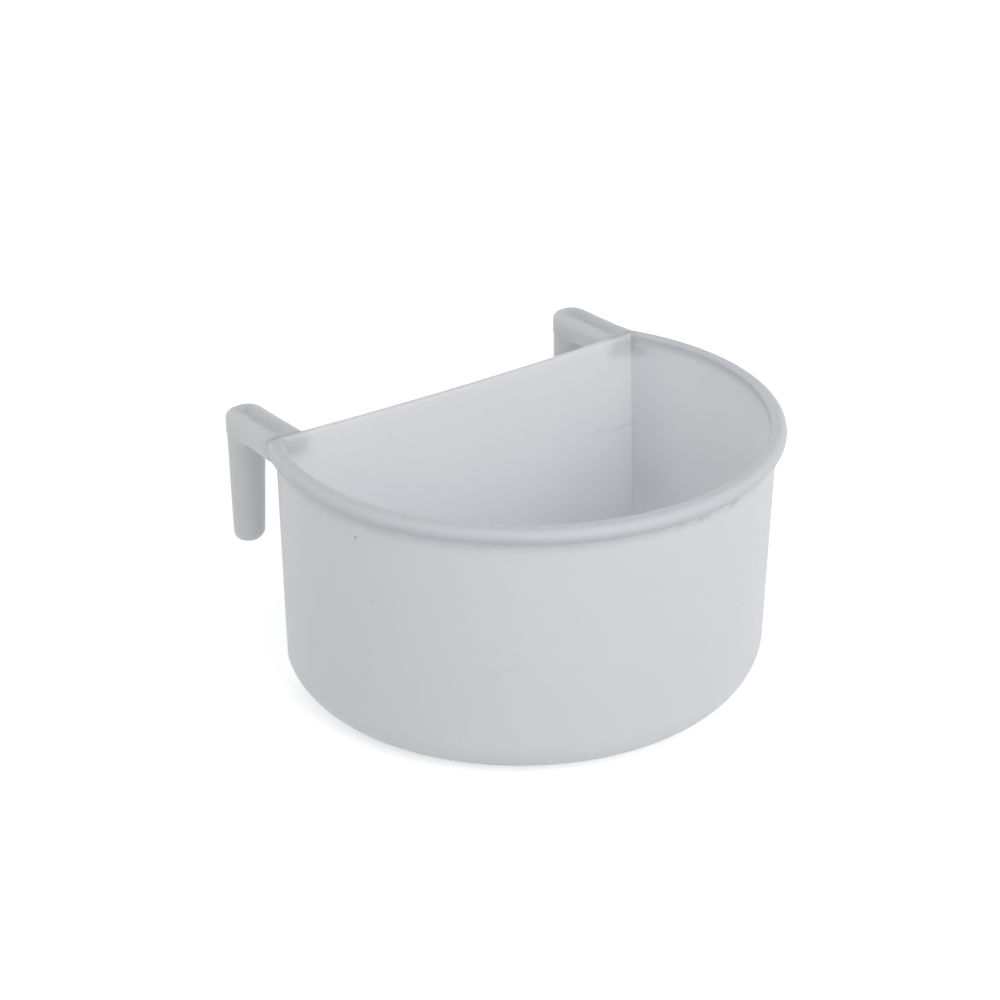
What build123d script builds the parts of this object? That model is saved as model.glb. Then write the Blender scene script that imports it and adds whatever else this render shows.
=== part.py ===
from build123d import *
import math
import os

# Seed cup: a D-shaped moulded bowl with a rolled rim and two hooks that hang it on cage wire.
# Millimetres. +Z is up, +Y runs back towards the hooks, +X along the flat back wall.
# The origin lies on the base, below the middle of the bowl's widest line.

# Bowl plan, on the outer face of the wall at the rim
bowl_width = 96.4
front_depth = 46.5
back_distance = 20.2
side_blend_angle = 33.2

# Bowl section
bowl_height = 51.8
wall_thickness = 1.3
back_thickness = 1.5
floor_thickness = 1.8
wall_draft = 0.45
back_draft = 3.0
heel_radius = 7.9
outer_corner_radius = 1.6
inner_corner_radius = 0.8

# Rolled rim
bead_height = 3.06
bead_reach = 1.8
bead_flat = 0.06
rim_edge_break = 0.4

# Where one named piece of the moulding ends and the next begins
pan_lip = 1.0
back_return = 0.8

# Hooks
hook_inset = 2.55
hook_reach = 19.3
hook_drop = 27.9
arm_depth = 4.2
arm_edge_radius = 1.5
head_corner_radius = 3.6
prong_margin = 0.25
prong_top_diameter = 7.3
prong_tip_diameter = 5.9
prong_tip_radius = 2.2
trough_width = 4.8
trough_depth = 1.3
sink_diameter = 1.1
sink_depth = 0.6
sink_lead = 2.4

# Plan of the bowl: a flatter front arc and tighter side arcs, tangent where they meet at the blend angle
half_width = bowl_width / 2
blend_cos = math.cos(math.radians(side_blend_angle))
blend_sin = math.sin(math.radians(side_blend_angle))
blend_share = blend_cos + blend_sin - 1
front_radius = (blend_sin * half_width - (1 - blend_cos) * front_depth) / blend_share
side_radius = (blend_cos * front_depth - (1 - blend_sin) * half_width) / blend_share
front_center_y = front_radius - front_depth
side_center_x = half_width - side_radius

arm_width = prong_top_diameter + 2 * prong_margin
corner_x = side_center_x + math.sqrt(side_radius**2 - back_distance**2)
hook_x = corner_x - hook_inset
head_end_y = back_distance + hook_reach
prong_y = head_end_y - arm_width / 2


def oval(inset):
    """Closed oval of four tangent arcs, inset from the outer face of the wall."""
    front_sweep = 180 - 2 * side_blend_angle
    front = CenterArc((0, front_center_y), front_radius - inset, side_blend_angle - 180, front_sweep)
    side = CenterArc((side_center_x, 0), side_radius - inset, -side_blend_angle, 2 * side_blend_angle)
    return make_face([front, side, mirror(front, Plane.XZ), mirror(side, Plane.YZ)])


def back_plane(inset):
    """Plane along the leaning back wall, facing back, inset from the wall's rear face."""
    lean = math.radians(back_draft)
    facing_back = Vector(0, math.cos(lean), -math.sin(lean))
    return Plane(Vector(0, back_distance, bowl_height) - facing_back * inset, z_dir=facing_back)


def cut_pot(wall_inset, back_inset, bottom, heel, corner):
    """Tapering oval pot with a rounded heel, cut off by the back wall and rounded along that cut."""
    pot = extrude(Pos(0, 0, bowl_height) * oval(wall_inset), amount=bottom - bowl_height, taper=wall_draft)
    pot = fillet(pot.edges().group_by(Axis.Z)[0], heel)
    pot = split(pot, back_plane(back_inset), keep=Keep.BOTTOM)
    back_edges = pot.faces().sort_by(Axis.Y)[-1].edges()
    return fillet(back_edges.sort_by(Axis.Z)[:-1], corner)


def rolled_bead():
    """Half-round lip round the outside of the rim, cut off at the back face."""
    band = extrude(Pos(0, 0, bowl_height - bead_height) * oval(-bead_reach), amount=bead_height)
    levels = band.edges().group_by(Axis.Z)
    band = fillet(levels[0] + levels[-1], (bead_height - bead_flat) / 2)
    return split(band, back_plane(0), keep=Keep.BOTTOM)


def hollow():
    """The room inside the bowl."""
    inner_heel = heel_radius - wall_thickness
    return cut_pot(wall_thickness, back_thickness, floor_thickness, inner_heel, inner_corner_radius)


def bowl_moulding(block):
    """Hollows the block and breaks the sharp edges along the top of the rim and the back wall."""
    bowl = block - hollow()
    top_face = bowl.faces().sort_by(Axis.Z)[-1]
    bowl = chamfer(top_face.inner_wires()[0].edges(), rim_edge_break)
    rear_break = Plane((0, back_distance, bowl_height - rim_edge_break), z_dir=(0, 1, 1))
    return split(bowl, rear_break, keep=Keep.BOTTOM)


def part_bowl(bowl):
    """Parts the bowl at two levels and one upright plane into its named pieces."""
    pan_top = Plane.XY.offset(heel_radius + pan_lip)
    bead_foot = Plane.XY.offset(bowl_height - bead_height)
    back_front = back_plane(back_thickness + inner_corner_radius + back_return)
    walls = split(bowl, pan_top, keep=Keep.TOP)
    round_wall = split(walls, back_front, keep=Keep.BOTTOM)
    return {
        "floor_pan": split(bowl, pan_top, keep=Keep.BOTTOM),
        "back_wall": split(walls, back_front, keep=Keep.TOP),
        "front_wall": split(round_wall, bead_foot, keep=Keep.BOTTOM),
        "rim_bead": split(round_wall, bead_foot, keep=Keep.TOP),
    }


def hook_arm(center_x):
    """Arm with a rounded head and a shallow trough in its top, reaching back over the rim's corner."""
    plan = Pos(center_x, head_end_y / 2) * Rectangle(arm_width, head_end_y)
    plan = fillet(plan.vertices().group_by(Axis.Y)[-1], head_corner_radius)
    arm = extrude(Pos(0, 0, bowl_height - arm_depth) * plan, amount=arm_depth)
    arm = fillet(arm.edges().group_by(Axis.Z)[-1], arm_edge_radius)
    trough_radius = (trough_width**2 / 4 + trough_depth**2) / (2 * trough_depth)
    trough_run = Rot(90, 0, 0) * extrude(Circle(trough_radius), amount=prong_y)
    trough_end = Pos(center_x, prong_y, bowl_height - trough_depth + trough_radius)
    trough = trough_end * (trough_run + Sphere(trough_radius))
    sink_mouth = Pos(center_x, prong_y - sink_lead, bowl_height) * Circle(sink_diameter / 2)
    sink = extrude(sink_mouth, amount=-trough_depth - sink_depth)
    return arm - trough - sink


def hook_prong(center_x):
    """Round tapering prong with a blunt tip, hanging from the head of the arm."""
    length = hook_drop - arm_depth
    prong = Cone(prong_tip_diameter / 2, prong_top_diameter / 2, length)
    prong = fillet(prong.edges().group_by(Axis.Z)[0], prong_tip_radius)
    return Pos(center_x, prong_y, bowl_height - arm_depth - length / 2) * prong


def part_hook(hook):
    """Parts a hook where its arm meets the prong's head, into arm and prong."""
    head_front = Plane.XZ.offset(arm_width / 2 - prong_y)
    return split(hook, head_front, keep=Keep.TOP), split(hook, head_front, keep=Keep.BOTTOM)


block = cut_pot(0, 0, 0, heel_radius, outer_corner_radius) + rolled_bead()
pieces = part_bowl(bowl_moulding(block))
for name, side in (("left", -1), ("right", 1)):
    hook = hook_arm(side * hook_x) + hook_prong(side * hook_x) - block
    pieces[f"{name}_hook_arm"], pieces[f"{name}_hook_prong"] = part_hook(hook)

os.makedirs("parts", exist_ok=True)
for node, piece in pieces.items():
    export_step(piece, f"parts/{node}.step")
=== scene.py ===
"""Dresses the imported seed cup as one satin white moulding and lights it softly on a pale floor."""

import logging
import math
from dataclasses import dataclass
from enum import Enum

import bmesh
import bpy
from mathutils import Matrix, Vector


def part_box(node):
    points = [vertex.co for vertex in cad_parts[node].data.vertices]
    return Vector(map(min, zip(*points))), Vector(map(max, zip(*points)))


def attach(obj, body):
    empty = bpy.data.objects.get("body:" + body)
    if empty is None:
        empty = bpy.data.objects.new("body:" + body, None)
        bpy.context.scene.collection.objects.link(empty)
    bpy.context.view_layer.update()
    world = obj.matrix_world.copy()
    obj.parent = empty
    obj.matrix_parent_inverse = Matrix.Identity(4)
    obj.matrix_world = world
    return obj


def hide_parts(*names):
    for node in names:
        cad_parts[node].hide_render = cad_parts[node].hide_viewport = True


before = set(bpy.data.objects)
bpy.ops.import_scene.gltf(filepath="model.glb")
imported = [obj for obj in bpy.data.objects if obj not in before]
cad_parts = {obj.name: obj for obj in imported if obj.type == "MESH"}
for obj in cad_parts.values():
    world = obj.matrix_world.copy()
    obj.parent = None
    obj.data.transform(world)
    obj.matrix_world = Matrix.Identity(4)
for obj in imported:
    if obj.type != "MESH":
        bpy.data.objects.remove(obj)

LOG = logging.getLogger("seed_cup")
MM = 0.001
BODY = "root"
GRIME_LAYER = "grime"
# Mesh mark of painted light and shade: how far the colour greys towards the shade tint.
PAINTED_SHADE_LAYER = "painted_shade"

Color = tuple[float, float, float, float]
Loop = list[Vector]
Socket = bpy.types.NodeSocket
Sockets = bpy.types.bpy_prop_collection
Inputs = dict[str | int, object]

WHITE: Color = (1.0, 1.0, 1.0, 1.0)


class Side(Enum):
    """Which end of the back wall a hook grows from, as the sign of its X."""

    LEFT = -1
    RIGHT = 1


def smooth_step(value: float, start: float, end: float) -> float:
    """Eases from 0 where value is at start, or before it, to 1 where it is at end, or past it."""
    share = min(1.0, max(0.0, (value - start) / (end - start)))
    return share * share * (3 - 2 * share)


def shares(count: int) -> list[float]:
    """Gives count even steps from just above 0 up to 1."""
    return [(step + 1) / count for step in range(count)]


def arc(center: Vector, radius: float, start: float, end: float, count: int) -> Loop:
    """Points along an arc in the XY plane between two angles in radians, without its first point."""
    angles = [start + (end - start) * share for share in shares(count)]
    return [center + radius * Vector((math.cos(a), math.sin(a))) for a in angles]


def line(start: Vector, end: Vector, count: int) -> Loop:
    """Points along a straight run, without its first point."""
    return [start.lerp(end, share) for share in shares(count)]


class Loft:
    """A closed skin over a stack of loops that all have the same number of points, in millimetres."""

    def __init__(self, name: str) -> None:
        """Starts an empty skin for an object and mesh of this name."""
        self.name = name
        self.mesh = bmesh.new()
        self.grime = self.mesh.verts.layers.float.new(GRIME_LAYER)
        self.painted_shade = self.mesh.verts.layers.float.new(PAINTED_SHADE_LAYER)
        self.last: list[bmesh.types.BMVert] = []

    def add(self, loop: Loop, grime: float = 0.0, painted_shade: float | list[float] = 0.0) -> None:
        """Adds the next loop and joins it to the one before.

        Args:
            loop: the points of the loop.
            grime: how much dirt gathers along it, from 0 to 1.
            painted_shade: how far painted shade greys the colour, from 0 to 1, along the loop or at each
                point; low values stand for painted light.
        """
        verts = [self.mesh.verts.new(point * MM) for point in loop]
        tones = painted_shade if isinstance(painted_shade, list) else [painted_shade] * len(verts)
        for vert, tone in zip(verts, tones):
            vert[self.grime] = grime
            vert[self.painted_shade] = tone
        for index, below in enumerate(self.last):
            after = (index + 1) % len(verts)
            self.mesh.faces.new((below, self.last[after], verts[after], verts[index]))
        self.last = verts

    def cap(self, center: Vector) -> None:
        """Closes the last loop with a fan to one point of the same tone."""
        hub = self.mesh.verts.new(center * MM)
        hub[self.painted_shade] = self.last[0][self.painted_shade]
        for index, vert in enumerate(self.last):
            self.mesh.faces.new((vert, self.last[(index + 1) % len(self.last)], hub))

    def make(self, weld: float = 1e-6) -> bpy.types.Object:
        """Turns the skin into an object.

        Args:
            weld: points nearer to each other than this, in metres, become one.

        Returns:
            The object, linked to the scene, shaded smooth.
        """
        bmesh.ops.remove_doubles(self.mesh, verts=self.mesh.verts, dist=weld)
        bmesh.ops.dissolve_degenerate(self.mesh, edges=self.mesh.edges, dist=weld)
        bmesh.ops.recalc_face_normals(self.mesh, faces=self.mesh.faces)
        data = bpy.data.meshes.new(self.name)
        self.mesh.to_mesh(data)
        self.mesh.free()
        data.shade_smooth()
        made = bpy.data.objects.new(self.name, data)
        bpy.context.scene.collection.objects.link(made)
        return made


@dataclass(frozen=True)
class Plan:
    """Plan of the bowl in millimetres: a flat front arc and two tighter side arcs, cut off behind."""

    half_width: float
    front_depth: float
    blend_angle: float = math.radians(33.2)
    front_steps: int = 30
    side_steps: int = 34
    corner_steps: int = 8
    back_steps: int = 22

    @property
    def blend_share(self) -> float:
        """Cosine plus sine of the blend angle, less one."""
        return math.cos(self.blend_angle) + math.sin(self.blend_angle) - 1

    @property
    def front_radius(self) -> float:
        """Radius of the front arc."""
        spread = math.sin(self.blend_angle) * self.half_width
        return (spread - (1 - math.cos(self.blend_angle)) * self.front_depth) / self.blend_share

    @property
    def side_radius(self) -> float:
        """Radius of the side arcs."""
        depth = math.cos(self.blend_angle) * self.front_depth
        return (depth - (1 - math.sin(self.blend_angle)) * self.half_width) / self.blend_share

    def half(self, inset: float, back_y: float, corner: float) -> tuple[Loop, list[bool]]:
        """Half of the outline, from the middle of the front to the middle of the back.

        Args:
            inset: how far the front and side arcs lie inside the bowl's outer face.
            back_y: where the back wall's line lies.
            corner: radius between side arc and back line.

        Returns:
            The points, and for each whether it lies on the back line.
        """
        front_center = Vector((0, self.front_radius - self.front_depth))
        side_center = Vector((self.half_width - self.side_radius, 0))
        side = self.side_radius - inset
        corner_y = back_y - corner
        corner_x = side_center.x + math.sqrt((side - corner) ** 2 - corner_y**2)
        corner_center = Vector((corner_x, corner_y))
        turn = math.atan2(corner_y, corner_x - side_center.x)
        points = [Vector((0, inset - self.front_depth))]
        front = self.front_radius - inset
        points += arc(front_center, front, -math.pi / 2, -self.blend_angle, self.front_steps)
        points += arc(side_center, side, -self.blend_angle, turn, self.side_steps)
        points += arc(corner_center, corner, turn, math.pi / 2, self.corner_steps)
        back = [False] * (len(points) - 1) + [True]
        points += line(points[-1], Vector((0, back_y)), self.back_steps)
        back += [True] * self.back_steps
        return points, back


@dataclass(frozen=True)
class Level:
    """One level of the bowl's section: its height, insets and corner in millimetres, its grime, and its
    painted light and shade.
    """

    height: float
    inset: float
    back_inset: float
    corner: float
    grime: float = 0.0
    painted_shade: float = 0.0
    back_painted_shade: float = 0.0
    graded: float = 0.0


@dataclass
class Bowl:
    """The bowl: floor, rounded heel, curved wall with its rolled rim, and the back wall. Millimetres."""

    width: float
    depth: float
    height: float
    back_distance: float
    bead_height: float
    bead_reach: float = 1.8
    wall: float = 1.3
    back_wall: float = 1.5
    floor: float = 1.8
    wall_draft: float = math.radians(0.45)
    back_draft: float = math.radians(3.0)
    heel: float = 7.9
    back_heel: float = 1.6
    corner: float = 1.6
    bead_corner: float = 0.35
    bead_root: float = 0.25
    rear_edge: float = 0.5
    inner_edge: float = 0.5
    inner_corner_top: float = 0.45
    inner_corner_foot: float = 1.4
    back_bow: float = 1.3
    bow_rise: float = 1.5
    grime_reach: float = 2.5
    grime_rise: tuple[float, float] = (-80, -20)
    crown_start: tuple[float, float] = (-20, 20)
    crown_end: tuple[float, float] = (50, 85)
    edge_rise: tuple[float, float] = (45, 90)
    # Painted light and shade, as shares of greying towards the shade tint: under and on the bead, along
    # the inner edges, inside, at the foot and beside the back corners, over the given runs; the low
    # values inside stand for painted light.
    painted_shade_reach: float = 1.8
    painted_shade_outside: float = 0.53
    painted_shade_crown: float = 0.85
    painted_shade_edge: float = 0.72
    painted_shade_inside: float = 0.13
    painted_shade_foot: float = 0.5
    painted_shade_corner: float = 0.32
    corner_run: float = 15.0
    grade_rise: float = 12.0
    floor_rings: tuple[float, ...] = (0.25, 0.5, 0.75, 0.92)
    wall_steps: int = 20
    round_steps: int = 12

    @classmethod
    def from_frame(cls) -> "Bowl":
        """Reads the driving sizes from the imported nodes."""
        bead_low, bead_high = (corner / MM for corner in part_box("rim_bead"))
        _, back_high = (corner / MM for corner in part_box("back_wall"))
        reach = cls.bead_reach
        return cls(
            width=2 * (bead_high.x - reach),
            depth=-bead_low.y - reach,
            height=bead_high.z,
            back_distance=back_high.y,
            bead_height=bead_high.z - bead_low.z,
        )

    @property
    def plan(self) -> Plan:
        """Plan on the outer face of the wall at the rim."""
        return Plan(self.width / 2, self.depth)

    def back_y(self, height: float, inset: float) -> float:
        """Y of the leaning back wall at a height above the base, at a depth below its rear face."""
        lean = (self.height - height) * math.tan(self.back_draft)
        return self.back_distance - lean - inset / math.cos(self.back_draft)

    def bow(self, x: float, height: float, half_span: float) -> float:
        """How far the back wall bows in at a place: most at the top in the middle."""
        across = max(0.0, 1 - (x / half_span) ** 2)
        return self.back_bow * across * (height / self.height) ** self.bow_rise

    def loop(self, level: Level) -> tuple[Loop, list[bool]]:
        """Closed outline of the bowl at one level of its section.

        Args:
            level: the level.

        Returns:
            The points in order from the middle of the front, and whether each lies on the back wall.
        """
        inset = level.inset + (self.height - level.height) * math.tan(self.wall_draft)
        points, back = self.plan.half(inset, self.back_y(level.height, level.back_inset), level.corner)
        half_span = max(point.x for point, on_back in zip(points, back) if on_back)
        right = []
        for point, on_back in zip(points, back):
            bow = self.bow(point.x, level.height, half_span) if on_back else 0.0
            right.append(Vector((point.x, point.y - bow, level.height)))
        left = [Vector((-point.x, point.y, point.z)) for point in reversed(right[1:-1])]
        return right + left, back + back[-2:0:-1]

    def angles(self, start: float, end: float) -> list[float]:
        """Angles in radians from start to end degrees, for one of the section's rounds."""
        steps = range(self.round_steps + 1)
        return [math.radians(start + (end - start) * step / self.round_steps) for step in steps]

    def heel_heights(self, small: float, large: float) -> list[float]:
        """Heights that follow the small round of the back's foot and then the large round of the heel.

        Args:
            small: radius of the round at the foot of the back wall.
            large: radius of the heel.

        Returns:
            Heights above the flat, from 0 to the top of the heel.
        """
        heights = [small * (1 - math.cos(angle)) for angle in self.angles(0, 90)]
        start = math.degrees(math.acos(1 - small / large))
        return heights + [large * (1 - math.cos(angle)) for angle in self.angles(start, 90)[1:]]

    @staticmethod
    def round_inset(height: float, radius: float) -> float:
        """How far a round at the foot of a wall keeps inside the wall at a height above the flat."""
        short = max(0.0, radius - height)
        return radius - math.sqrt(radius**2 - short**2)

    def outer_levels(self) -> list[Level]:
        """Section up the outside, from the edge of the base to the foot of the bead."""
        levels = []
        for height in self.heel_heights(self.back_heel, self.heel):
            inset = self.round_inset(height, self.heel)
            back_inset = self.round_inset(height, self.back_heel)
            # The outside carries more painted shade than the inside.
            tone = self.painted_shade_outside
            levels.append(Level(height, inset, back_inset, self.corner, painted_shade=tone, back_painted_shade=tone))
        top = self.height - self.bead_height - self.bead_root
        for share in shares(self.wall_steps):
            height = self.heel + (top - self.heel) * share
            grime = smooth_step(height, top - self.grime_reach, top)
            # Painted shade greys the wall just under the bead.
            near_bead = smooth_step(height, top - self.painted_shade_reach, top) / 2
            painted_shade = self.painted_shade_outside + (1 - self.painted_shade_outside) * near_bead
            levels.append(Level(height, 0, 0, self.corner, grime, painted_shade, self.painted_shade_outside))
        return levels

    def bead_levels(self) -> list[Level]:
        """Section round the rolled bead, from the wall to the crown of the rim."""
        foot = self.height - self.bead_height
        radius = self.bead_height / 2
        middle = self.bead_reach - radius
        levels = []
        # The fillet under the bead carries full painted shade.
        for angle in self.angles(0, 90)[1:]:
            inset = self.bead_root * (math.cos(angle) - 1)
            height = foot + self.bead_root * (math.sin(angle) - 1)
            corner = self.corner + (self.bead_corner - self.corner) * math.sin(angle)
            levels.append(Level(height, inset, 0, corner, 1.0, 1.0, self.painted_shade_outside))
        for angle in self.angles(-90, 90)[1:]:
            inset = -middle - radius * math.cos(angle)
            height = foot + radius * (1 + math.sin(angle))
            over = max(0.0, height - (self.height - self.rear_edge))
            back_inset = self.rear_edge - math.sqrt(self.rear_edge**2 - over**2)
            rise = math.degrees(angle)
            grime = 1 - smooth_step(rise, *self.grime_rise)
            # Painted light and shade on the bead: its crown is lighter, its underside and the back
            # wall's top edge greyer.
            crown = smooth_step(rise, *self.crown_start) * (1 - smooth_step(rise, *self.crown_end))
            painted_shade = 1 - (1 - self.painted_shade_crown) * crown
            back_painted_shade = max(self.painted_shade_outside, self.painted_shade_edge * smooth_step(rise, *self.edge_rise))
            levels.append(Level(height, inset, back_inset, self.bead_corner, grime, painted_shade, back_painted_shade))
        return levels

    def inner_levels(self) -> list[Level]:
        """Section down the inside, from the inner edge of the rim to the edge of the floor."""
        levels = []
        for angle in self.angles(0, 90):
            short = self.inner_edge * (1 - math.sin(angle))
            height = self.height - self.inner_edge * (1 - math.cos(angle))
            insets = self.wall - short, self.back_wall - short
            # Painted shade along the inner edge of the rim.
            back_edge = self.painted_shade_inside + (self.painted_shade_edge - self.painted_shade_inside) * math.cos(angle)
            levels.append(Level(height, *insets, self.inner_corner_top, 0.0, 1.0, back_edge))
        inner_heel = self.heel - self.wall
        top, foot = self.height - self.inner_edge, self.floor + inner_heel
        for share in shares(self.wall_steps):
            corner = self.inner_corner_top + (self.inner_corner_foot - self.inner_corner_top) * share**2
            height = top + (foot - top) * share
            # Inside: painted light near the rim, greying towards the floor, and painted shade again
            # along the inner edge.
            low = self.painted_shade_inside + (self.painted_shade_foot - self.painted_shade_inside) * share
            painted_shade = max(low, smooth_step(height, top - self.painted_shade_reach, top))
            # Share of the painted corner shade and back-wall light that tones() adds, fading out at the
            # rim and the foot.
            graded = smooth_step(top - height, 0, self.painted_shade_reach)
            graded *= smooth_step(height, foot, foot + self.grade_rise)
            levels.append(Level(height, self.wall, self.back_wall, corner, 0.0, painted_shade, low, graded))
        for height in reversed(self.heel_heights(self.inner_corner_foot, inner_heel)[:-1]):
            inset = self.wall + self.round_inset(height, inner_heel)
            back_inset = self.back_wall + self.round_inset(height, self.inner_corner_foot)
            low = self.painted_shade_inside + (self.painted_shade_foot - self.painted_shade_inside) * height / inner_heel
            corner = self.inner_corner_foot
            levels.append(Level(self.floor + height, inset, back_inset, corner, 0.0, low, low))
        return levels

    def root_y(self, x: float, share: float = 0.5) -> float:
        """Where a hook's root lies inside the walls of a back corner.

        Args:
            x: distance from the middle of the cup.
            share: how deep in the wall, from 0 on its outer face to 1 on its inner face.

        Returns:
            The Y of the root: inside the back wall, or further round inside the curved wall.
        """
        plan = self.plan
        radius = plan.side_radius - self.wall * share
        across = x - (plan.half_width - plan.side_radius)
        curved = math.sqrt(max(0.0, radius**2 - across**2))
        return min(self.back_distance - self.back_wall * share, curved)

    def build(self) -> bpy.types.Object:
        """Builds the bowl as one closed shell with its true wall thickness.

        Returns:
            The bowl, riding on the cup and standing for its four bowl nodes.
        """
        skin = Loft("bowl")
        outer, inner = self.outer_levels(), self.inner_levels()
        (base_rim, _), (floor_rim, _) = self.loop(outer[0]), self.loop(inner[-1])
        skin.add(self.shrunk(base_rim, self.floor_rings[0]), painted_shade=self.painted_shade_outside)
        skin.cap(self.middle(base_rim))
        for share in self.floor_rings[1:]:
            skin.add(self.shrunk(base_rim, share), painted_shade=self.painted_shade_outside)
        for level in outer + self.bead_levels() + inner:
            points, on_back = self.loop(level)
            skin.add(points, level.grime, self.tones(level, points, on_back))
        for share in reversed(self.floor_rings):
            skin.add(self.shrunk(floor_rim, share), painted_shade=self.painted_shade_inside)
        skin.cap(self.middle(floor_rim))
        made = skin.make()
        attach(made, BODY)
        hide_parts("floor_pan", "front_wall", "back_wall", "rim_bead")
        return made

    def tones(self, level: Level, points: Loop, on_back: list[bool]) -> list[float]:
        """Painted light and shade at each point of a level.

        Args:
            level: the level.
            points: its points.
            on_back: whether each lies on the back wall.

        Returns:
            The tones: painted shade greys the curved wall beside a back corner, and painted light lifts
                the back wall there.
        """
        back_y = max(point.y for point in points)
        half_span = max(abs(point.x) for point, back in zip(points, on_back) if back)
        tones = []
        for point, back in zip(points, on_back):
            run = half_span - abs(point.x) if back else back_y - point.y
            beside = 1 - smooth_step(run, 0, self.corner_run)
            if back:
                tones.append(level.back_painted_shade - level.graded * self.painted_shade_inside * beside)
            else:
                change = self.painted_shade_corner * beside - self.painted_shade_inside * (1 - beside)
                tones.append(level.painted_shade + level.graded * change)
        return tones

    @staticmethod
    def middle(loop: Loop) -> Vector:
        """Middle of a loop's box."""
        low = Vector(min(point[axis] for point in loop) for axis in range(3))
        high = Vector(max(point[axis] for point in loop) for axis in range(3))
        return (low + high) / 2

    @classmethod
    def shrunk(cls, loop: Loop, share: float) -> Loop:
        """A loop drawn in towards its middle to a share of its size."""
        middle = cls.middle(loop)
        return [middle.lerp(point, share) for point in loop]


@dataclass(frozen=True)
class Mark:
    """A soft darker mark on the plastic: its place and reach in millimetres, and its strength."""

    center: tuple[float, float, float]
    reach: tuple[float, float, float]
    strength: float


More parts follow.
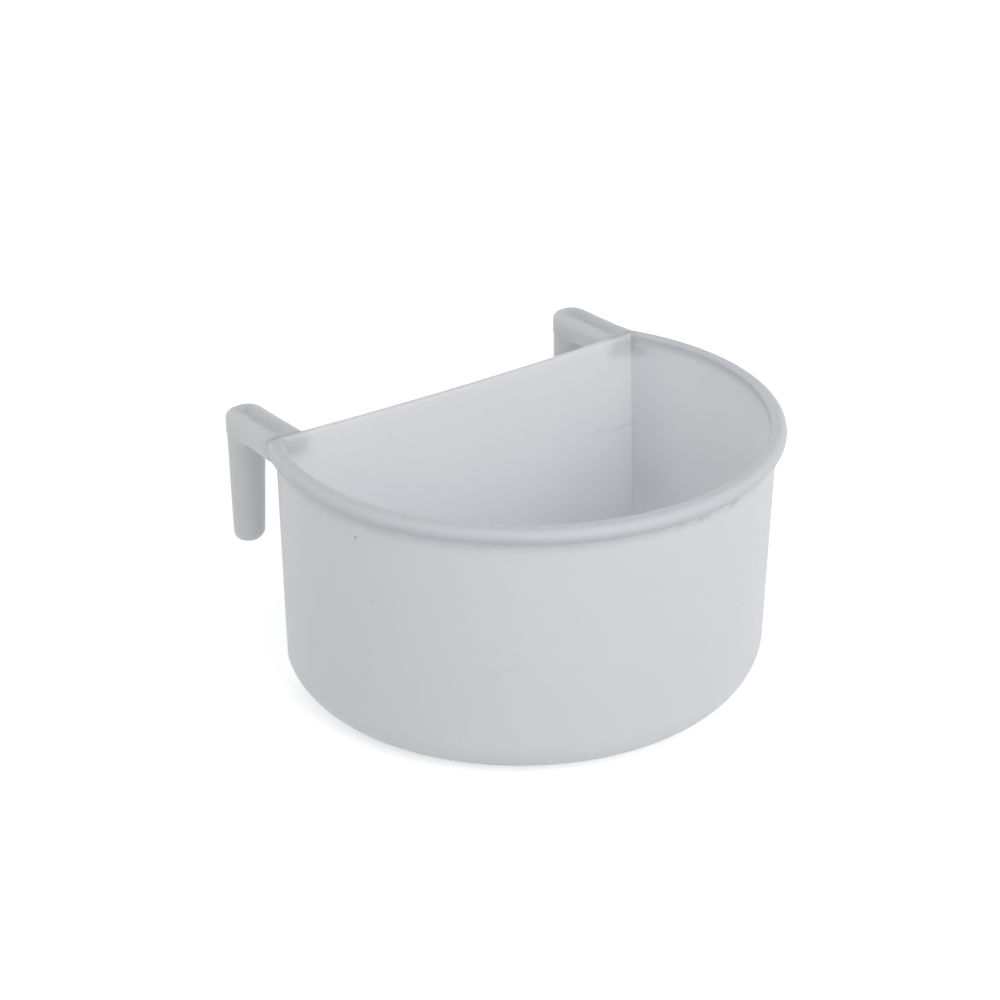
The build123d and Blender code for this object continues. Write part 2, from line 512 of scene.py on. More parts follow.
@dataclass
class Hook:
    """One hook in millimetres: an arm with a shallow trough that reaches back, and a prong."""

    side: Side
    bowl: Bowl
    center_x: float
    top: float
    head_end: float
    arm_depth: float
    tip: float
    half_width: float
    toe_in: float = 0.0
    droop: float = 0.0
    lean: float = 0.6
    sit: float = 0.06
    head_corner: float = 3.6
    arm_edge: float = 1.5
    under_edge: float = 0.05
    root_flare: float = 0.4
    root_lap: float = 0.05
    flare_run: float = 6.0
    trough_depth: float = 0.75
    trough_rise: float = 3.5
    prong_top_radius: float = 3.84
    prong_tip_radius: float = 3.2
    tip_round: float = 2.2
    gusset_height: float = 5.5
    gusset_reach: float = 4.5
    gusset_margin: float = 0.2
    gusset_power: int = 2
    sink_radius: float = 0.42
    sink_depth: float = 0.8
    sink_lead: float = 5.0
    sink_shift: float = 0.0
    sink_painted_shade_reach: tuple[float, float, float] = (0.75, 0.75, 2.0)
    sink_painted_shade_strength: float = 0.6
    painted_shade_top: float = 0.85
    front_turn: float = math.radians(15)
    crisp_angle: float = math.radians(50)
    side_steps: int = 20
    head_steps: int = 14
    root_steps: int = 16
    prong_steps: int = 12
    round_steps: int = 8
    under_steps: int = 5
    trough_steps: int = 10
    sink_steps: int = 24

    @classmethod
    def from_frame(cls, side: Side, bowl: Bowl, **set_in_use: float) -> "Hook":
        """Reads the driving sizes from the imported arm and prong.

        Args:
            side: which hook.
            bowl: the bowl that it grows from.
            set_in_use: how the hook has bent in use, by field name.

        Returns:
            The hook.
        """
        name = side.name.lower()
        arm_low, arm_high = (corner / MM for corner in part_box(f"{name}_hook_arm"))
        prong_low, prong_high = (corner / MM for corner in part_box(f"{name}_hook_prong"))
        return cls(
            side=side,
            bowl=bowl,
            center_x=abs(prong_low.x + prong_high.x) / 2,
            top=prong_high.z - cls.sit,
            head_end=prong_high.y,
            arm_depth=arm_high.z - arm_low.z,
            tip=prong_low.z,
            half_width=(prong_high.x - prong_low.x) / 2,
            **set_in_use,
        )

    @property
    def prong_y(self) -> float:
        """Where the prong's middle lies."""
        return self.head_end - self.half_width

    @property
    def under(self) -> float:
        """Height of the arm's underside."""
        return self.top - self.arm_depth

    @property
    def sink_middle(self) -> Vector:
        """Where the sink lies in the plan of the straight hook."""
        return Vector((self.sink_shift, self.prong_y - self.sink_lead))

    @property
    def sink_painted_shade(self) -> Mark:
        """Painted shade that darkens the sink."""
        place = self.place([self.sink_middle], self.top - self.trough_depth)[0]
        return Mark(tuple(place), self.sink_painted_shade_reach, self.sink_painted_shade_strength)

    def bend(self, point: Vector) -> Vector:
        """Puts a point of the straight hook, outwards as +X, at this hook's place with its set and lean.

        Args:
            point: the point on the straight hook.

        Returns:
            The point in the cup's frame.
        """
        start = self.bowl.back_distance
        share = max(0.0, (point.y - start) / (self.head_end - start)) ** 2
        fall = max(0.0, self.under - point.z) / (self.under - self.tip)
        x = self.center_x + point.x - self.toe_in * share
        return Vector((self.side.value * x, point.y + self.lean * fall, point.z - self.droop * share))

    def place(self, points: Loop, height: float) -> Loop:
        """Puts plan points at a height on the bent hook."""
        return [self.bend(Vector((point.x, point.y, height))) for point in points]

    def outline(self, inset: float) -> Loop:
        """Plan of the arm, from the root's outer end round the head and back along the root.

        Args:
            inset: how far inside the arm's sides.

        Returns:
            The points, with the outer side of the hook as +X.
        """
        half = self.half_width - inset
        corner = self.head_corner - inset
        shift = self.half_width - self.head_corner
        turn_y = self.head_end - self.head_corner

        def root(x: float) -> Vector:
            """The root's point at a distance from the arm's middle."""
            return Vector((x, self.bowl.root_y(self.center_x + x)))

        points = line(Vector((half, root(-half).y)), Vector((half, turn_y)), self.side_steps)
        start = self.bowl.back_distance
        for point in points:
            along = smooth_step(point.y, start, start + self.flare_run)
            point.x = half + self.root_flare * (1 - along)
        points += arc(Vector((shift, turn_y)), corner, 0, math.pi / 2, self.head_steps)
        points += arc(Vector((-shift, turn_y)), corner, math.pi / 2, math.pi, self.head_steps)
        points += line(points[-1], root(-half), self.side_steps)
        run = 2 * half + self.root_flare
        points += [root(run * share - half) for share in shares(self.root_steps)]
        return points

    def ring(self, radius: float, flare: float = 0.0) -> Loop:
        """Round section of the prong with as many points as the arm's outline.

        Args:
            radius: radius of the section.
            flare: how much further it reaches on the side towards the bowl.

        Returns:
            The points, with the outer side of the hook as +X.
        """
        side_turn = math.pi / 2 - self.front_turn
        inner_end = math.pi + side_turn
        angles = [-side_turn * (1 - share) for share in shares(self.side_steps)]
        angles += [math.pi * share for share in shares(2 * self.head_steps)]
        angles += [math.pi + side_turn * share for share in shares(self.side_steps)]
        angles += [inner_end + 2 * self.front_turn * share for share in shares(self.root_steps)]
        points = []
        for angle in angles:
            flared = radius + flare * max(0.0, -math.sin(angle)) ** self.gusset_power
            widest = (self.half_width - self.gusset_margin) / max(abs(math.cos(angle)), 1e-6)
            reach = max(radius, min(flared, widest))
            points.append(Vector((reach * math.cos(angle), self.prong_y + reach * math.sin(angle))))
        return points

    def build(self) -> bpy.types.Object:
        """Builds the hook as one closed skin, from the prong's tip to the trough.

        Returns:
            The hook, riding on the cup and standing for its arm and prong nodes.
        """
        name = self.side.name.lower()
        skin = Loft(f"{name}_hook")
        self.add_prong(skin)
        self.add_arm(skin)
        made = skin.make()
        self.drill(made)
        made.data.set_sharp_from_angle(angle=self.crisp_angle)
        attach(made, BODY)
        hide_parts(f"{name}_hook_arm", f"{name}_hook_prong")
        return made

    def add_prong(self, skin: Loft) -> None:
        """Adds the prong's loops, from its tip to the gusset under the arm.

        Args:
            skin: the skin to add to.
        """
        flat = self.prong_tip_radius - self.tip_round
        first = self.place(self.ring(flat / 2), self.tip)
        skin.add(first)
        skin.cap(Bowl.middle(first))
        for step in range(self.round_steps + 1):
            angle = math.pi / 2 * step / self.round_steps
            height = self.tip + self.tip_round * (1 - math.cos(angle))
            skin.add(self.place(self.ring(flat + self.tip_round * math.sin(angle)), height))
        low, high = self.tip + self.tip_round, self.under - self.gusset_height
        taper = (self.prong_top_radius - self.prong_tip_radius) / (self.under - low)
        for share in shares(self.prong_steps):
            height = low + (high - low) * share
            skin.add(self.place(self.ring(self.prong_tip_radius + taper * (height - low)), height))
        for share in shares(self.round_steps):
            angle = math.pi / 2 * share
            height = high + self.gusset_height * math.sin(angle)
            radius = self.prong_tip_radius + taper * (height - low)
            skin.add(self.place(self.ring(radius, self.gusset_reach * (1 - math.cos(angle))), height))

    def add_arm(self, skin: Loft) -> None:
        """Adds the arm's loops: underside, sides, rounded top edges and the trough.

        Args:
            skin: the skin to add to.
        """
        neck, rim = self.ring(self.prong_top_radius, self.gusset_reach), self.outline(self.under_edge)
        for share in shares(self.under_steps):
            skin.add(self.place([a.lerp(b, share) for a, b in zip(neck, rim)], self.under))
        for share in shares(self.under_steps):
            angle = math.pi / 2 * share
            height = self.under + self.under_edge * (1 - math.cos(angle))
            skin.add(self.place(self.outline(self.under_edge * (1 - math.sin(angle))), height))
        side_foot, side_top = self.under + self.under_edge, self.top - self.arm_edge
        for share in shares(self.under_steps):
            skin.add(self.place(self.outline(0), side_foot + (side_top - side_foot) * share))
        # Painted shade greys the arm's rounded top edges and trough, for the dimmer light from above.
        for share in shares(self.round_steps):
            angle = math.pi / 2 * share
            inset = self.arm_edge * (1 - math.cos(angle))
            edge = self.place(self.outline(inset), side_top + self.arm_edge * math.sin(angle))
            skin.add(edge, painted_shade=self.painted_shade_top * share)
        crest = self.outline(self.arm_edge)
        for share in shares(self.trough_steps):
            trough = [self.bend(self.trough_point(point, share)) for point in crest]
            skin.add(trough, painted_shade=self.painted_shade_top)

    def trough_point(self, point: Vector, share: float) -> Vector:
        """Draws a point of the crest in and down towards the middle line of the trough.

        Args:
            point: the point of the crest.
            share: how far it is drawn in, from 0 on the crest to 1 on the middle line.

        Returns:
            The point on the straight hook.
        """
        x = point.x * (1 - share)
        y = point.y - max(0.0, point.y - self.prong_y) * share
        start = self.bowl.back_distance
        if point.y < start:
            y = self.bowl.root_y(self.center_x + x) - self.root_lap * share
        depth = self.trough_depth * smooth_step(y, start, start + self.trough_rise)
        return Vector((x, y, self.top - depth * math.sin(math.pi / 2 * share) ** 2))

    def drill(self, hook: bpy.types.Object) -> None:
        """Drills the small sink in the floor of the trough.

        Args:
            hook: the hook to drill.
        """
        bit = Loft("sink_bit")
        full_turn = arc(self.sink_middle, self.sink_radius, 0, 2 * math.pi, self.sink_steps)
        floor = self.place(full_turn, self.top - self.trough_depth - self.sink_depth)
        mouth = self.place(full_turn, self.top)
        bit.add(floor)
        bit.cap(Bowl.middle(floor))
        bit.add(mouth)
        bit.cap(Bowl.middle(mouth))
        cutter = bit.make()
        cut = hook.modifiers.new("sink", "BOOLEAN")
        cut.operation = "DIFFERENCE"
        cut.object = cutter
        cut.solver = "EXACT"
        bpy.context.view_layer.update()
        graph = bpy.context.evaluated_depsgraph_get()
        drilled = bpy.data.meshes.new_from_object(hook.evaluated_get(graph))
        hook.modifiers.clear()
        hook.data = drilled
        bpy.data.objects.remove(cutter)


class NodeSheet:
    """Adds and joins nodes in one node tree."""

    def __init__(self, tree: bpy.types.NodeTree) -> None:
        """Takes the tree to fill."""
        self.tree = tree

    @classmethod
    def fresh(cls, owner: bpy.types.Material | bpy.types.World) -> "NodeSheet":
        """Gives a material or world an empty tree, and that tree's sheet."""
        owner.use_nodes = True
        owner.node_tree.nodes.clear()
        return cls(owner.node_tree)

    def add(self, kind: str, inputs: Inputs | None = None, **settings: object) -> bpy.types.Node:
        """Adds a node.

        Args:
            kind: the node's type name.
            inputs: the socket or plain value for its inputs, by name or place.
            settings: its other settings, by attribute name.

        Returns:
            The node.
        """
        node = self.tree.nodes.new(kind)
        for name, value in settings.items():
            setattr(node, name, value)
        for key, source in (inputs or {}).items():
            self.join(source, node.inputs[key])
        return node

    def join(self, source: object, target: Socket) -> None:
        """Links an output to an input, or sets the input to a plain value."""
        if isinstance(source, Socket):
            self.tree.links.new(source, target)
        else:
            target.default_value = source

    def group(self, tree: bpy.types.NodeTree, place: Socket, **inputs: object) -> Sockets:
        """Places a shared group on a piece's coordinates and gives its outputs."""
        return self.add("ShaderNodeGroup", {"Vector": place, **inputs}, node_tree=tree).outputs

    def math(self, operation: str, first: object, second: object = 0.0) -> Socket:
        """Adds a math node on two values or sockets and gives its result."""
        return self.add("ShaderNodeMath", {0: first, 1: second}, operation=operation).outputs[0]

    def vector(
        self, operation: str, first: Socket, second: object = (0.0, 0.0, 0.0), result: str = "Vector"
    ) -> Socket:
        """Adds a vector math node on a socket and a vector or socket, and gives one result."""
        inputs = {0: first, 1: second}
        return self.add("ShaderNodeVectorMath", inputs, operation=operation).outputs[result]

    def fade(
        self, value: Socket, low: object, high: object, start: float = 0.0, end: float = 1.0
    ) -> Socket:
        """Eases from start, where the value is low or less, to end, where it is high or more."""
        inputs = {"Value": value, "From Min": low, "From Max": high, "To Min": start, "To Max": end}
        return self.add("ShaderNodeMapRange", inputs, interpolation_type="SMOOTHSTEP").outputs["Result"]

    def noise(self, vector: Socket, scale: object, detail: float) -> Socket:
        """Adds a noise texture and gives its value."""
        inputs = {"Vector": vector, "Scale": scale, "Detail": detail}
        return self.add("ShaderNodeTexNoise", inputs).outputs["Fac"]

    def marked(self, layer: str) -> Socket:
        """Reads one of the marks that the mesh carries."""
        return self.add("ShaderNodeAttribute", attribute_name=layer).outputs["Fac"]

    def mix(self, share: Socket, first: object, second: object) -> Socket:
        """Mixes two colours or colour sockets: a share of 0 gives the first, 1 the second."""
        inputs = {"Fac": share, "Color1": first, "Color2": second}
        return self.add("ShaderNodeMixRGB", inputs).outputs["Color"]

    def choose(self, share: Socket, first: bpy.types.Node, second: bpy.types.Node) -> Socket:
        """Mixes two shaders: a share of 0 gives the first, 1 the second."""
        inputs = {0: share, 1: first.outputs[0], 2: second.outputs[0]}
        return self.add("ShaderNodeMixShader", inputs).outputs["Shader"]

    def seen_directly(self) -> Socket:
        """Gives 1 on rays from the camera, straight or by way of gloss or glass, and 0 on the rest."""
        rays = self.add("ShaderNodeLightPath").outputs
        bent = self.math("MAXIMUM", rays["Is Glossy Ray"], rays["Is Transmission Ray"])
        return self.math("MAXIMUM", rays["Is Camera Ray"], bent)


class Effects:
    """The shader node groups that the finishes share, each built once."""

    NUMBER = "NodeSocketFloat"
    VECTOR = "NodeSocketVector"
    DRAW_STRETCH = (1.0, 1.0, 0.06)
    LINE_SCALE = 0.4
    LINE_SHARE = 0.5
    BROAD_SCALE = 0.05
    CLOUD_EDGES = (0.3, 0.7)
    SPECK_EDGES = (0.03, 0.075)
    SPECK_DEPTH = 0.6
    PATCH_EDGES = (0.42, 0.62)
    STREAK_EDGES = (0.3, 1.0)
    RUB_WANDER_SCALE = 150.0
    RUB_BREAK_SCALE = 260.0
    RUB_BREAK_EDGES = (0.3, 0.65)
    RUB_TURN = -0.3

    def __init__(self) -> None:
        """Builds the groups."""
        self.grain = self.build_grain()
        self.flow = self.build_flow()
        self.specks = self.build_specks()
        self.crease = self.build_crease()
        self.streak = self.build_streak()
        self.smear = self.build_smear()

    @staticmethod
    def start(
        name: str, inputs: dict[str, str], outputs: tuple[str, ...]
    ) -> tuple[bpy.types.NodeTree, NodeSheet, Sockets, Sockets]:
        """Makes an empty group with named sockets.

        Args:
            name: name of the group.
            inputs: socket type of each input, by name.
            outputs: names of the outputs, each a number.

        Returns:
            The group, its sheet, the sockets that it is given and those that it puts out.
        """
        group = bpy.data.node_groups.new(name, "ShaderNodeTree")
        for socket, kind in inputs.items():
            group.interface.new_socket(name=socket, in_out="INPUT", socket_type=kind)
        for socket in outputs:
            group.interface.new_socket(name=socket, in_out="OUTPUT", socket_type=Effects.NUMBER)
        sheet = NodeSheet(group)
        return group, sheet, sheet.add("NodeGroupInput").outputs, sheet.add("NodeGroupOutput").inputs

    def build_grain(self) -> bpy.types.NodeTree:
        """Fine satin texture of the mould with faint lines of draw, as a height and a roughness."""
        inputs = {"Vector": self.VECTOR, "Scale": self.NUMBER}
        group, sheet, given, out = self.start("satin_grain", inputs, ("Height", "Roughness"))
        fine = sheet.noise(given["Vector"], given["Scale"], detail=3.0)
        drawn = sheet.vector("MULTIPLY", given["Vector"], self.DRAW_STRETCH)
        lines = sheet.noise(drawn, sheet.math("MULTIPLY", given["Scale"], self.LINE_SCALE), detail=2.0)
        broad_scale = sheet.math("MULTIPLY", given["Scale"], self.BROAD_SCALE)
        broad = sheet.noise(given["Vector"], broad_scale, detail=2.0)
        faint = sheet.math("MULTIPLY", lines, self.LINE_SHARE)
        sheet.join(sheet.math("ADD", fine, faint), out["Height"])
        sheet.join(sheet.math("MULTIPLY", sheet.math("ADD", broad, lines), 0.5), out["Roughness"])
        return group

    def build_flow(self) -> bpy.types.NodeTree:
        """Cloudy change of shade left by the flow of plastic in the mould."""
        inputs = {"Vector": self.VECTOR, "Scale": self.NUMBER}
        group, sheet, given, out = self.start("flow_shade", inputs, ("Shade",))
        cloud = sheet.noise(given["Vector"], given["Scale"], detail=4.0)
        sheet.join(sheet.fade(cloud, *self.CLOUD_EDGES), out["Shade"])
        return group

    def build_specks(self) -> bpy.types.NodeTree:
        """Sparse tiny dark specks."""
        inputs = {"Vector": self.VECTOR, "Scale": self.NUMBER, "Share": self.NUMBER}
        group, sheet, given, out = self.start("specks", inputs, ("Mask",))
        spread = {name: given[name] for name in ("Vector", "Scale")}
        cells = sheet.add("ShaderNodeTexVoronoi", spread).outputs
        spot = sheet.fade(cells["Distance"], *self.SPECK_EDGES, start=1.0, end=0.0)
        draws = sheet.add("ShaderNodeSeparateColor", {"Color": cells["Color"]}).outputs
        chosen = sheet.math("LESS_THAN", draws["Red"], given["Share"])
        depth = sheet.math("MULTIPLY", draws["Green"], self.SPECK_DEPTH)
        depth = sheet.math("MULTIPLY", chosen, depth)
        sheet.join(sheet.math("MULTIPLY", spot, depth), out["Mask"])
        return group

    def build_crease(self) -> bpy.types.NodeTree:
        """Dirt that gathers in broken patches where the mesh marks a crease."""
        inputs = {"Vector": self.VECTOR, "Scale": self.NUMBER}
        group, sheet, given, out = self.start("crease_dirt", inputs, ("Mask",))
        patches = sheet.fade(sheet.noise(given["Vector"], given["Scale"], detail=5.0), *self.PATCH_EDGES)
        sheet.join(sheet.math("MULTIPLY", sheet.marked(GRIME_LAYER), patches), out["Mask"])
        return group

    def build_streak(self) -> bpy.types.NodeTree:
        """Soft patch round a place, reaching a given way along each axis."""
        inputs = {"Vector": self.VECTOR, "Center": self.VECTOR, "Reach": self.VECTOR}
        group, sheet, given, out = self.start("soft_streak", inputs, ("Mask",))
        away = sheet.vector("SUBTRACT", given["Vector"], given["Center"])
        away = sheet.vector("DIVIDE", away, given["Reach"])
        distance = sheet.vector("LENGTH", away, result="Value")
        sheet.join(sheet.fade(distance, *self.STREAK_EDGES, start=1.0, end=0.0), out["Mask"])
        return group

    def build_smear(self) -> bpy.types.NodeTree:
        """Broken arc of rubbed plastic, on the side of a place that a direction faces."""
        inputs = {"Vector": self.VECTOR, "Center": self.VECTOR, "Facing": self.VECTOR}
        inputs |= {"Radius": self.NUMBER, "Width": self.NUMBER}
        group, sheet, given, out = self.start("rubbed_arc", inputs, ("Mask",))
        away = sheet.vector("SUBTRACT", given["Vector"], given["Center"])
        wander = sheet.noise(given["Vector"], self.RUB_WANDER_SCALE, detail=3.0)
        wander = sheet.math("MULTIPLY", wander, given["Radius"])
        distance = sheet.vector("LENGTH", away, result="Value")
        off_ring = sheet.math("SUBTRACT", distance, given["Radius"])
        off_ring = sheet.math("ABSOLUTE", sheet.math("ADD", off_ring, wander))
        ring = sheet.fade(off_ring, 0.0, given["Width"], start=1.0, end=0.0)
        facing = sheet.vector("DOT_PRODUCT", away, given["Facing"], "Value")
        turn = sheet.math("MULTIPLY", given["Radius"], self.RUB_TURN)
        facing = sheet.fade(facing, turn, given["Radius"])
        breaks = sheet.noise(given["Vector"], self.RUB_BREAK_SCALE, detail=4.0)
        breaks = sheet.fade(breaks, *self.RUB_BREAK_EDGES)
        arc_mask = sheet.math("MULTIPLY", ring, facing)
        sheet.join(sheet.math("MULTIPLY", arc_mask, breaks), out["Mask"])
        return group


@dataclass(frozen=True)
class PlasticFinish:
    """Satin translucent white plastic with grain, cloudy flow, specks, dirt, rubbing, darker marks, and
    painted light and shade.
    """

    name: str
    light: Color = (0.915, 0.936, 0.968, 1.0)
    shade: Color = (0.89, 0.912, 0.945, 1.0)
    # Colour that painted shade greys the plastic towards.
    painted_shade_tint: Color = (0.56, 0.58, 0.605, 1.0)
    # Colour of dirt, and of the painted shade in darker marks such as the hooks' sinks.
    dirt_and_painted_shade: Color = (0.20, 0.19, 0.17, 1.0)
    roughness: float = 0.42
    roughness_spread: float = 0.12
    ior: float = 1.49
    translucency: float = 1.0
    glow_depth: float = 4.5
    grain_scale: float = 1800.0
    grain_bump: float = 0.06
    grain_depth: float = 0.2
    flow_scale: float = 28.0
    speck_scale: float = 190.0
    speck_share: float = 0.55
    dirt_scale: float = 260.0
    dirt_share: float = 0.06
    marks: tuple[Mark, ...] = ()
    dirty_run: Mark | None = None
    rub_center: tuple[float, float, float] | None = None
    rub_facing: tuple[float, float, float] = (0.68, -0.62, -0.4)
    rub_radius: float = 7.0
    rub_width: float = 2.2
    rub_share: float = 0.1

    def build(self, effects: Effects) -> bpy.types.Material:
        """Builds the material.

        Args:
            effects: the shared node groups.

        Returns:
            The material.
        """
        material = bpy.data.materials.new(self.name)
        sheet = NodeSheet.fresh(material)
        place = sheet.add("ShaderNodeTexCoord").outputs["Object"]
        grain = sheet.group(effects.grain, place, Scale=self.grain_scale)
        spread = sheet.math("MULTIPLY", grain["Roughness"], self.roughness_spread)
        bump = {
            "Strength": self.grain_bump,
            "Distance": self.grain_depth * MM,
            "Height": grain["Height"],
        }
        plastic = {
            "IOR": self.ior,
            "Subsurface Weight": self.translucency,
            "Subsurface Radius": (1.0, 1.0, 1.0),
            "Subsurface Scale": self.glow_depth * MM,
            "Base Color": self.build_color(sheet, effects, place),
            "Roughness": sheet.math("ADD", spread, self.roughness - self.roughness_spread / 2),
            "Normal": sheet.add("ShaderNodeBump", bump).outputs["Normal"],
        }
        surface = sheet.add("ShaderNodeBsdfPrincipled", plastic).outputs["BSDF"]
        sheet.add("ShaderNodeOutputMaterial", {"Surface": surface})
        return material

    @staticmethod
    def streak(sheet: NodeSheet, tree: bpy.types.NodeTree, place: Socket, mark: Mark) -> Socket:
        """Places a soft streak for a mark and gives its mask, as strong as the mark."""
        center, reach = Vector(mark.center) * MM, Vector(mark.reach) * MM
        mask = sheet.group(tree, place, Center=center, Reach=reach)["Mask"]
        return sheet.math("MULTIPLY", mask, mark.strength)

    def build_color(self, sheet: NodeSheet, effects: Effects, place: Socket) -> Socket:
        """Builds the colour: clouded plastic, greyed by painted shade where the mesh marks it, under its
        dirt, rubbing and darker marks, some of them painted shade.

        Args:
            sheet: the material's sheet.
            effects: the shared node groups.
            place: coordinates on the piece.

        Returns:
            The colour.
        """
        flow = sheet.group(effects.flow, place, Scale=self.flow_scale)["Shade"]
        color = sheet.mix(flow, self.shade, self.light)
        # Painted light and shade: the mesh's mark greys the colour towards the shade tint.
        color = sheet.mix(sheet.marked(PAINTED_SHADE_LAYER), color, self.painted_shade_tint)
        specks = sheet.group(effects.specks, place, Scale=self.speck_scale, Share=self.speck_share)
        crease = sheet.group(effects.crease, place, Scale=self.dirt_scale)["Mask"]
        creased = sheet.math("MULTIPLY", crease, self.dirt_share)
        dirt_and_painted_shade = sheet.math("MAXIMUM", specks["Mask"], creased)
        if self.dirty_run:
            run = self.streak(sheet, effects.streak, place, self.dirty_run)
            dirt_and_painted_shade = sheet.math("MAXIMUM", dirt_and_painted_shade, sheet.math("MULTIPLY", crease, run))
        for mark in self.marks:
            dirt_and_painted_shade = sheet.math("MAXIMUM", dirt_and_painted_shade, self.streak(sheet, effects.streak, place, mark))
        if self.rub_center:
            rub = sheet.group(
                effects.smear,
                place,
                Center=Vector(self.rub_center) * MM,
                Facing=self.rub_facing,
                Radius=self.rub_radius * MM,
                Width=self.rub_width * MM,
            )
            rubbed = sheet.math("MULTIPLY", rub["Mask"], self.rub_share)
            dirt_and_painted_shade = sheet.math("MAXIMUM", dirt_and_painted_shade, rubbed)
        return sheet.mix(dirt_and_painted_shade, color, self.dirt_and_painted_shade)


@dataclass(frozen=True)
class FloorFinish:
    """Pale matte floor that shows white to the camera and keeps the cup's soft shadow."""

    name: str = "pale_floor"
    color: Color = (0.82, 0.82, 0.82, 1.0)
    roughness: float = 0.9
    glow: float = 0.54

    def build(self) -> bpy.types.Material:
        """Builds the material: matte, with a little light of its own for the camera, clear from below.

        Returns:
            The material.
        """
        material = bpy.data.materials.new(self.name)
        sheet = NodeSheet.fresh(material)
        matte = {
            "Base Color": self.color,
            "Roughness": self.roughness,
            "Specular IOR Level": 0.0,
            "Emission Color": WHITE,
            "Emission Strength": sheet.math("MULTIPLY", sheet.seen_directly(), self.glow),
        }
        above = sheet.add("ShaderNodeBsdfPrincipled", matte)
        below = sheet.add("ShaderNodeBsdfTransparent")
        from_below = sheet.add("ShaderNodeNewGeometry").outputs["Backfacing"]
        surface = sheet.choose(from_below, above, below)
        sheet.add("ShaderNodeOutputMaterial", {"Surface": surface})
        return material


@dataclass(frozen=True)
class SoftLamp:
    """A large soft lamp that faces the cup."""

    name: str
    azimuth: float
    elevation: float
    power: float
    distance: float = 1.5
    size: float = 1.0

    def build(self, aim: Vector) -> bpy.types.Object:
        """Hangs the lamp.

        Args:
            aim: the point that it faces.

        Returns:
            The lamp.
        """
        data = bpy.data.lights.new(self.name, "AREA")
        data.shape = "DISK"
        data.size = self.size
        data.energy = self.power
        lamp = bpy.data.objects.new(self.name, data)
        back = direction(self.azimuth, self.elevation)
        lamp.location = aim + back * self.distance
        lamp.rotation_euler = back.to_track_quat("Z", "Y").to_euler()
        bpy.context.scene.collection.objects.link(lamp)
        return lamp


def direction(azimuth: float, elevation: float) -> Vector:
    """Unit vector, in degrees round from the front of the cup towards its right and above the floor."""
    turn, rise = math.radians(azimuth), math.radians(elevation)
    return Vector((math.sin(turn) * math.cos(rise), -math.cos(turn) * math.cos(rise), math.sin(rise)))


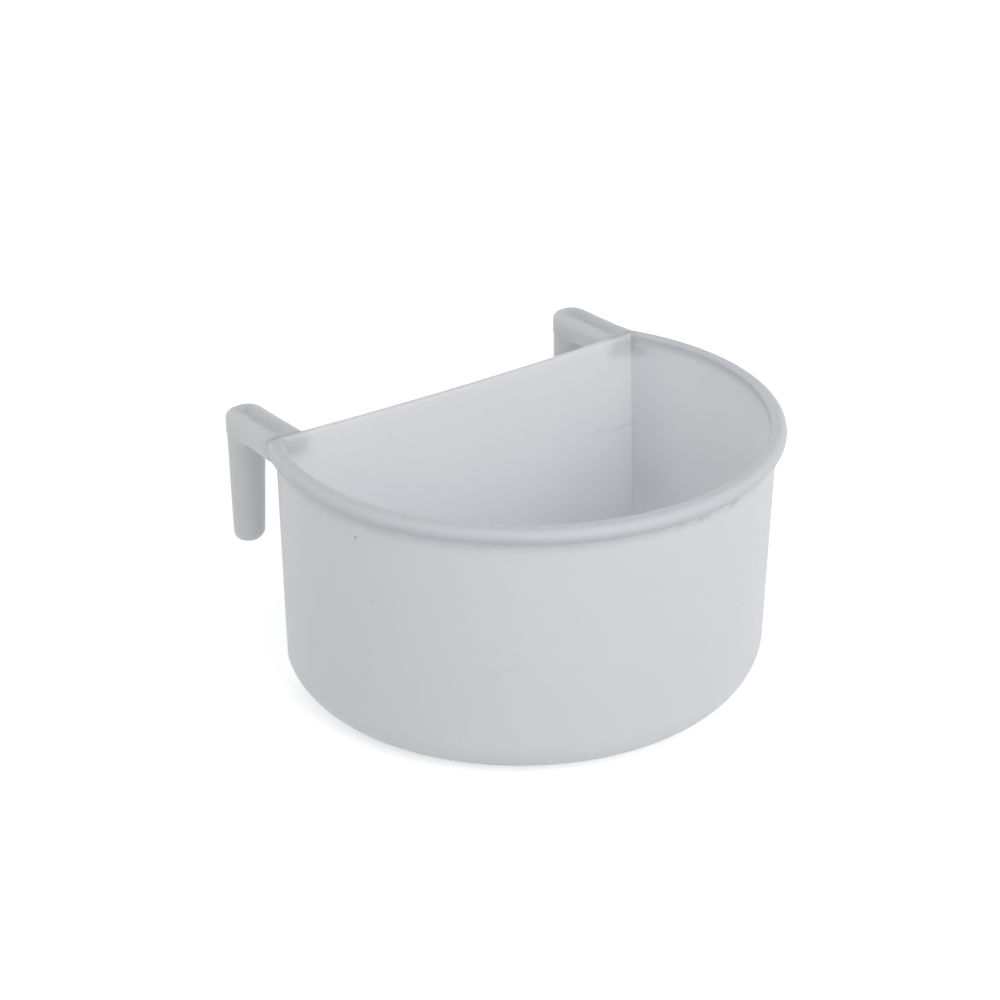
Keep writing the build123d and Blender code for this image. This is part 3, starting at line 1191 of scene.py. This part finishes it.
@dataclass
class Studio:
    """Floor, world, lamps and camera."""

    aim: Vector
    camera_azimuth: float = -38.234
    camera_elevation: float = 26.338
    camera_roll: float = 0.418
    camera_distance: float = 0.42599
    lens: float = 78.43
    sensor_width: float = 36.0
    floor_half: float = 3.0
    ambient: float = 0.55
    lamps: tuple[SoftLamp, ...] = (
        SoftLamp("front_lamp", azimuth=0, elevation=35, power=6.2),
        SoftLamp("front_left_lamp", azimuth=-45, elevation=30, power=1.0),
        SoftLamp("front_right_lamp", azimuth=45, elevation=30, power=0.6),
        SoftLamp("back_lamp", azimuth=180, elevation=8, power=1.6),
    )

    def build(self) -> None:
        """Builds the stage."""
        self.build_floor()
        self.build_world()
        for lamp in self.lamps:
            lamp.build(self.aim)
        self.build_camera()
        bpy.context.scene.view_settings.view_transform = "Standard"

    def build_floor(self) -> None:
        """Lays the pale floor under the cup."""
        data = bpy.data.meshes.new("floor")
        half = self.floor_half
        corners = [(-half, -half, 0), (half, -half, 0), (half, half, 0), (-half, half, 0)]
        data.from_pydata(corners, [], [(0, 1, 2, 3)])
        data.materials.append(FloorFinish().build())
        floor = bpy.data.objects.new("floor", data)
        bpy.context.scene.collection.objects.link(floor)

    def build_world(self) -> None:
        """Gives even light all round, and white where the camera looks past the floor."""
        world = bpy.data.worlds.new("studio")
        sheet = NodeSheet.fresh(world)
        even, white = (
            sheet.add("ShaderNodeBackground", {"Color": WHITE, "Strength": strength})
            for strength in (self.ambient, 1.0)
        )
        surface = sheet.choose(sheet.seen_directly(), even, white)
        sheet.add("ShaderNodeOutputWorld", {"Surface": surface})
        bpy.context.scene.world = world

    def build_camera(self) -> None:
        """Sets the camera at the viewing angle."""
        data = bpy.data.cameras.new("camera")
        data.lens = self.lens
        data.sensor_width = self.sensor_width
        camera = bpy.data.objects.new("camera", data)
        back = direction(self.camera_azimuth, self.camera_elevation)
        level = back.to_track_quat("Z", "Y").to_matrix().to_4x4()
        roll = Matrix.Rotation(math.radians(self.camera_roll), 4, "Z")
        camera.matrix_world = Matrix.Translation(self.aim + back * self.camera_distance) @ level @ roll
        bpy.context.scene.collection.objects.link(camera)
        bpy.context.scene.camera = camera


def main() -> None:
    """Builds the cup's pieces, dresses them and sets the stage."""
    logging.basicConfig(level=logging.INFO, format="%(name)s: %(message)s")
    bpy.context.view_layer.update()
    effects = Effects()
    bowl_finish = PlasticFinish(
        "bowl_plastic",
        # Two faint darker streaks across the back wall near its right end.
        marks=(
            Mark(center=(34.5, 17.5, 32.7), reach=(4.5, 3.0, 0.6), strength=0.07),
            Mark(center=(40.0, 17.5, 32.0), reach=(4.5, 3.0, 0.9), strength=0.08),
        ),
        dirty_run=Mark(center=(7.0, -47.0, 48.6), reach=(17.0, 12.0, 3.0), strength=0.5),
        rub_center=(-34.6, -31.8, 25.5),
    ).build(effects)
    bowl = Bowl.from_frame()
    hooks = (
        Hook.from_frame(Side.LEFT, bowl, toe_in=1.1, droop=0.9, sink_shift=1.3),
        Hook.from_frame(Side.RIGHT, bowl, sink_shift=-0.8),
    )
    # The hooks' plastic is greyer than the bowl's: painted shade for the dimmer light on them. Their
    # marks are painted shade in the sinks.
    hook_finish = PlasticFinish(
        "hook_plastic",
        light=(0.735, 0.752, 0.762, 1.0),
        shade=(0.705, 0.722, 0.732, 1.0),
        marks=tuple(hook.sink_painted_shade for hook in hooks),
    ).build(effects)
    dressed = [(bowl.build(), bowl_finish)]
    dressed += [(hook.build(), hook_finish) for hook in hooks]
    for piece, finish in dressed:
        piece.data.materials.clear()
        piece.data.materials.append(finish)
        LOG.info("%s: %d faces in %s", piece.name, len(piece.data.polygons), finish.name)
    Studio(aim=Vector((-0.276, 7.572, 30.894)) * MM).build()


if __name__ == "__main__":
    main()
